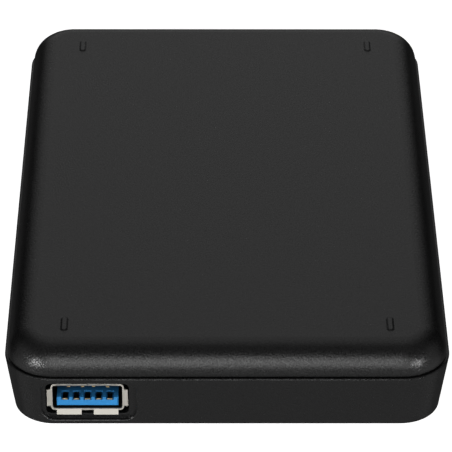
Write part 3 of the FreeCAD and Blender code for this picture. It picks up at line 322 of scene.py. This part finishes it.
# a copy of the gold plate with shade painted into its colour, for the contacts sunk in the tongue's pockets
sunkContactPaintedShadeLook = {**contactLook, "shade": {"Start": 0.15, "End": 0.6, "Depth": 0.95}}
sunkContactPaintedShadeGold = metalFinish("sunkContactGoldPaintedShade", sunkContactPaintedShadeLook)
print("case and port finishes ready")

# small moulded and metal parts inside
chipLook = {"colour": (0.016, 0.016, 0.017), "rough": 0.55, "ior": 1.5, "grain": 0.1, "toneSpread": 0.35,
            "glossSpread": 0.12, "depth": 0.006, "bump": 0.35, "edge": 0.06, "wearAndHighlight": 0.4,
            "wearAndHighlightColour": (0.05, 0.05, 0.05)}
connectorLook = {**chipLook, "colour": (0.012, 0.012, 0.013), "rough": 0.42, "grain": 0.16}
canLook = {"dark": (0.5, 0.5, 0.49), "light": (0.76, 0.75, 0.73), "rough": 0.28, "line": 0.04, "length": 0.9,
           "stain": 0.9, "depth": 0.003, "bump": 0.3, "edge": 0.08, "wearAndHighlight": 0.5, "wearAndHighlightColour": (0.9, 0.9, 0.88)}
screwLook = {**canLook, "dark": (0.36, 0.37, 0.39), "light": (0.62, 0.62, 0.63), "rough": 0.34, "length": 0.3}
driveLook = {"dark": (0.42, 0.43, 0.45), "light": (0.6, 0.61, 0.63), "rough": 0.42, "line": 0.14,
             "length": 0.16, "stain": 12.0, "depth": 0.012, "bump": 0.45, "edge": 0.15, "wearAndHighlight": 0.6,
             "wearAndHighlightColour": (0.8, 0.81, 0.83)}
padLook = {"colour": (0.32, 0.36, 0.4), "rough": 0.7, "ior": 1.42, "grain": 0.5, "toneSpread": 0.25,
           "glossSpread": 0.1, "depth": 0.03, "bump": 0.4, "edge": 0.2, "wearAndHighlight": 0.2,
           "wearAndHighlightColour": (0.42, 0.46, 0.5)}
chipBlack = plasticFinish("chipPackage", chipLook)
connectorBlack = plasticFinish("connectorMoulding", connectorLook)
canSteel = metalFinish("crystalCan", canLook)
screwSteel = metalFinish("screwZinc", screwLook)
driveMetal = metalFinish("driveBlastedAluminium", driveLook)
padGrey = plasticFinish("heatPadSilicone", padLook)

# boards: green mask over copper runs, with the bare core at the cut edges
boardLook = {"mask": (0.012, 0.11, 0.05), "run": (0.03, 0.2, 0.09), "core": (0.3, 0.27, 0.13), "ior": 1.5,
             "coat": 0.25, "coatRough": 0.2, "rough": 0.32, "grain": 0.2, "glossSpread": 0.15,
             "flat": (0.5, 0.6), "depth": 0.03, "bump": 0.5}
boardRuns = {"pitch": 1.3, "length": 3.2, "row": 0.55, "width": 0.11, "soft": 0.25, "shift": 0.37,
             "squash": 1.6, "squashEvery": 3}


def boardFinish():
    material, tree, surface = newFinish("boardGreenMask", {
        "IOR": boardLook["ior"], "Coat Weight": boardLook["coat"], "Coat Roughness": boardLook["coatRough"]})
    place = addNode(tree, "ShaderNodeTexCoord").outputs["Object"]
    bricks = addNode(tree, "ShaderNodeTexBrick",
                     {"offset": boardRuns["shift"], "squash": boardRuns["squash"],
                      "squash_frequency": boardRuns["squashEvery"]},
                     {"Scale": 1 / (boardRuns["pitch"] * mm), "Mortar Size": boardRuns["width"],
                      "Mortar Smooth": boardRuns["soft"], "Brick Width": boardRuns["length"],
                      "Row Height": boardRuns["row"]})
    join(tree, place, bricks.inputs["Vector"])
    runs = bricks.outputs["Fac"]
    face = blendColours(tree, runs, opaque(boardLook["mask"]), opaque(boardLook["run"]))
    flat = facesAlong(tree, "Z", boardLook["flat"])
    join(tree, blendColours(tree, flat, opaque(boardLook["core"]), face), surface.inputs["Base Color"])
    grain = useEffect(tree, mouldGrain, {"Grain": boardLook["grain"],
                                         "Gloss Spread": boardLook["glossSpread"]})
    join(tree, reckon(tree, "ADD", grain["Gloss"], boardLook["rough"]), surface.inputs["Roughness"])
    addBump(tree, surface, runs, boardLook["depth"], boardLook["bump"])
    return material


# chip capacitors and resistors: fired body with tinned ends along X
ceramicLook = {"body": (0.36, 0.25, 0.15), "tin": (0.72, 0.71, 0.69), "ior": 1.5, "rough": 0.45,
               "tinRough": 0.25, "grain": 0.12, "toneSpread": 0.4, "ends": (0.5, 0.6), "depth": 0.006,
               "bump": 0.4}


def ceramicFinish():
    material, tree, surface = newFinish("chipCeramic", {"IOR": ceramicLook["ior"]})
    grain = useEffect(tree, mouldGrain, {"Grain": ceramicLook["grain"],
                                         "Tone Spread": ceramicLook["toneSpread"]})
    ends = facesAlong(tree, "X", ceramicLook["ends"])
    body = scaleColour(tree, ceramicLook["body"], grain["Tone"])
    join(tree, blendColours(tree, ends, body, opaque(ceramicLook["tin"])), surface.inputs["Base Color"])
    join(tree, ends, surface.inputs["Metallic"])
    drop = ceramicLook["tinRough"] - ceramicLook["rough"]
    join(tree, reckon(tree, "MULTIPLY_ADD", ends, drop, ceramicLook["rough"]), surface.inputs["Roughness"])
    addBump(tree, surface, grain["Height"], ceramicLook["depth"], ceramicLook["bump"])
    return material


# foam: closed cells
foamLook = {"wall": (0.06, 0.06, 0.062), "cell": (0.024, 0.024, 0.026), "cellSize": 0.7,
            "cellEdge": (0.2, 0.6), "ior": 1.4, "rough": 0.9, "sheen": 0.15, "depth": 0.25, "bump": 0.8}


def foamFinish():
    material, tree, surface = newFinish("foamClosedCell", {
        "IOR": foamLook["ior"], "Roughness": foamLook["rough"], "Sheen Weight": foamLook["sheen"]})
    place = addNode(tree, "ShaderNodeTexCoord").outputs["Object"]
    cells = addNode(tree, "ShaderNodeTexVoronoi", {"feature": "SMOOTH_F1"},
                    {"Scale": 1 / (foamLook["cellSize"] * mm)})
    join(tree, place, cells.inputs["Vector"])
    walls = ease(tree, cells.outputs["Distance"], *foamLook["cellEdge"])
    colour = blendColours(tree, walls, opaque(foamLook["cell"]), opaque(foamLook["wall"]))
    join(tree, colour, surface.inputs["Base Color"])
    addBump(tree, surface, walls, foamLook["depth"], foamLook["bump"])
    return material


slotFinish = {
    "case_plastic": casePlastic,
    "port_steel": portSteel,
    "port_blue": portBlue,
    "contact_gold": contactGold,
    "board_green": boardFinish(),
    "chip_black": chipBlack,
    "can_steel": canSteel,
    "chip_ceramic": ceramicFinish(),
    "connector_black": connectorBlack,
    "drive_metal": driveMetal,
    "screw_steel": screwSteel,
    "foam_grey": foamFinish(),
    "pad_grey": padGrey,
}
nodeFinish = {"port_fast_contacts": sunkContactPaintedShadeGold}
for part in frame["record"]["subparts"]:
    for materialSlot in nodes[part["node"]].material_slots:
        materialSlot.material = nodeFinish.get(part["node"], slotFinish[part["material_slot"]])
print("finishes placed on every piece")


# floor that sweeps up into a round backdrop: metres, but its drop below the object is in millimetres
sweep = {"flat": 1.8, "curve": 0.8, "wall": 1.2, "steps": 12, "turns": 72, "weld": 1e-5, "drop": 0.01,
         "colour": 0.86, "rough": 0.95, "glow": 0.9}


def makeSweep():
    profile = [(0.0, 0.0), (sweep["flat"], 0.0)]
    for step in range(1, sweep["steps"] + 1):
        turn = math.pi / 2 * step / sweep["steps"]
        radius = sweep["flat"] + sweep["curve"] * math.sin(turn)
        profile.append((radius, sweep["curve"] * (1 - math.cos(turn))))
    profile.append((sweep["flat"] + sweep["curve"], sweep["curve"] + sweep["wall"]))
    shape = bmesh.new()
    points = [shape.verts.new((radius, 0, height)) for radius, height in profile]
    lines = [shape.edges.new(pair) for pair in zip(points, points[1:])]
    bmesh.ops.spin(shape, geom=points + lines, cent=(0, 0, 0), axis=(0, 0, 1), angle=2 * math.pi,
                   steps=sweep["turns"])
    bmesh.ops.remove_doubles(shape, verts=shape.verts, dist=sweep["weld"])
    bmesh.ops.recalc_face_normals(shape, faces=shape.faces)
    for face in shape.faces:
        face.smooth = True
    mesh = bpy.data.meshes.new("sweep")
    shape.to_mesh(mesh)
    shape.free()
    floor = bpy.data.objects.new("sweep", mesh)
    bpy.context.collection.objects.link(floor)
    return floor


# matt paper that also glows for the camera, so brightly that the object's shadow is lost in the white
def paperFinish():
    material, tree, surface = newFinish("whitePaper", {"Roughness": sweep["rough"],
                                                       "Specular IOR Level": 0.0})
    surface.inputs["Base Color"].default_value = opaque((sweep["colour"],) * 3)
    surface.inputs["Emission Color"].default_value = (1, 1, 1, 1)
    rays = addNode(tree, "ShaderNodeLightPath").outputs
    seen = reckon(tree, "MAXIMUM", rays["Is Camera Ray"], rays["Is Glossy Ray"])
    seen = reckon(tree, "MAXIMUM", seen, rays["Is Transmission Ray"])
    join(tree, reckon(tree, "MULTIPLY", seen, sweep["glow"]), surface.inputs["Emission Strength"])
    return material


floor = makeSweep()
floor.data.materials.append(paperFinish())
floor.location.z = -sweep["drop"] * mm
# the room below stands in for the floor in reflections, so that flags can darken the sides
floor.visible_glossy = False
floor.visible_shadow = False
print("floor laid")

# soft boxes: direction from the object, distance, size and radiance
softBoxes = {
    "leftBox": {"toward": (-0.65, -0.745, 0.14), "far": 0.62, "wide": 0.06, "tall": 0.08, "radiance": 118.0},
    "rightBox": {"toward": (0.6, -0.79, 0.14), "far": 0.62, "wide": 0.07, "tall": 0.08, "radiance": 78.0},
    "frontBox": {"toward": (-0.06, -0.94, 0.335), "far": 0.9, "wide": 0.4, "tall": 0.6, "radiance": 3.95},
}
for name, box in softBoxes.items():
    lamp = bpy.data.lights.new(name, "AREA")
    lamp.shape = "RECTANGLE"
    lamp.size = box["wide"]
    lamp.size_y = box["tall"]
    lamp.energy = math.pi * box["wide"] * box["tall"] * box["radiance"]
    holder = bpy.data.objects.new(name, lamp)
    toward = Vector(box["toward"]).normalized()
    holder.location = toward * box["far"]
    holder.rotation_euler = toward.to_track_quat("Z", "Y").to_euler()
    holder.visible_camera = False
    bpy.context.collection.objects.link(holder)

# room seen in reflections: glows behind, above and at both sides, a lit table in front,
# dark flags between them
glows = {
    "back": {"toward": (0.0, 0.951, 0.309), "spread": (0.85, 0.985), "level": 0.39},
    "upper": {"toward": (0.0, 0.5, 0.87), "spread": (0.88, 1.0), "level": 0.44},
    "left": {"toward": (-0.95, -0.12, 0.28), "spread": (0.84, 0.98), "level": 0.3},
    "right": {"toward": (0.95, -0.12, 0.28), "spread": (0.84, 0.98), "level": 0.3},
    "leftFloor": {"toward": (-0.87, -0.06, -0.49), "spread": (0.86, 0.99), "level": 0.38},
    "rightFloor": {"toward": (0.87, -0.06, -0.49), "spread": (0.86, 0.99), "level": 0.38},
}
room = {"base": 0.006, "behind": 0.015, "behindSide": (0.3, 0.8), "behindLow": (0.0, 0.35), "overhead": 0.11,
        "overheadRise": (0.4, 1.0), "table": 0.38, "tableSide": (0.1, 0.45), "tableFar": (-0.1, 0.25),
        "tableNear": (1.15, 0.7)}


def makeRoom():
    world = bpy.data.worlds.new("flaggedRoom")
    world.use_nodes = True
    tree = world.node_tree
    toward = addNode(tree, "ShaderNodeTexCoord").outputs["Generated"]
    parts = addNode(tree, "ShaderNodeSeparateXYZ")
    join(tree, toward, parts.inputs[0])
    ahead = reckon(tree, "MULTIPLY", parts.outputs["Y"], -1.0)
    below = reckon(tree, "MULTIPLY", parts.outputs["Z"], -1.0)
    level = room["base"]
    for glow in glows.values():
        near = addNode(tree, "ShaderNodeVectorMath", {"operation": "DOT_PRODUCT"}, {1: glow["toward"]})
        join(tree, toward, near.inputs[0])
        spread = ease(tree, near.outputs["Value"], *glow["spread"])
        level = reckon(tree, "MULTIPLY_ADD", spread, glow["level"], level)
    overhead = ease(tree, parts.outputs["Z"], *room["overheadRise"])
    level = reckon(tree, "MULTIPLY_ADD", overhead, room["overhead"], level)
    table = ease(tree, ahead, *room["tableSide"])
    table = reckon(tree, "MULTIPLY", table, ease(tree, below, *room["tableFar"]))
    table = reckon(tree, "MULTIPLY", table, ease(tree, below, *room["tableNear"]))
    level = reckon(tree, "MULTIPLY_ADD", table, room["table"], level)
    behind = ease(tree, parts.outputs["Y"], *room["behindSide"])
    behind = reckon(tree, "MULTIPLY", behind, ease(tree, below, *room["behindLow"]))
    level = reckon(tree, "MULTIPLY_ADD", behind, room["behind"], level)
    join(tree, level, tree.nodes["Background"].inputs["Strength"])
    tree.nodes["Background"].inputs["Color"].default_value = (1, 1, 1, 1)
    bpy.context.scene.world = world


makeRoom()
print("lights set")

# camera of the photograph: place in metres, angles in degrees, lens and sensor in millimetres
photoCamera = {"place": (-0.00322, -0.53115, 0.34277), "pitch": 32.5, "yaw": 0.35, "roll": 0.2,
               "lens": 258.14, "sensor": 36.0}


def makeCamera():
    pitch = math.radians(photoCamera["pitch"])
    yaw = math.radians(photoCamera["yaw"])
    ahead = Vector((math.sin(yaw) * math.cos(pitch), math.cos(yaw) * math.cos(pitch), -math.sin(pitch)))
    right = Vector((math.cos(yaw), -math.sin(yaw), 0))
    upward = right.cross(ahead)
    turn = Matrix((right, upward, -ahead)).transposed().to_4x4()
    lens = bpy.data.cameras.new("photoCamera")
    lens.sensor_width = photoCamera["sensor"]
    lens.lens = photoCamera["lens"]
    camera = bpy.data.objects.new("photoCamera", lens)
    roll = Matrix.Rotation(math.radians(photoCamera["roll"]), 4, "Z")
    camera.matrix_world = Matrix.Translation(photoCamera["place"]) @ turn @ roll
    bpy.context.collection.objects.link(camera)
    bpy.context.scene.camera = camera


makeCamera()
bpy.context.scene.view_settings.view_transform = "Standard"
print("camera set")
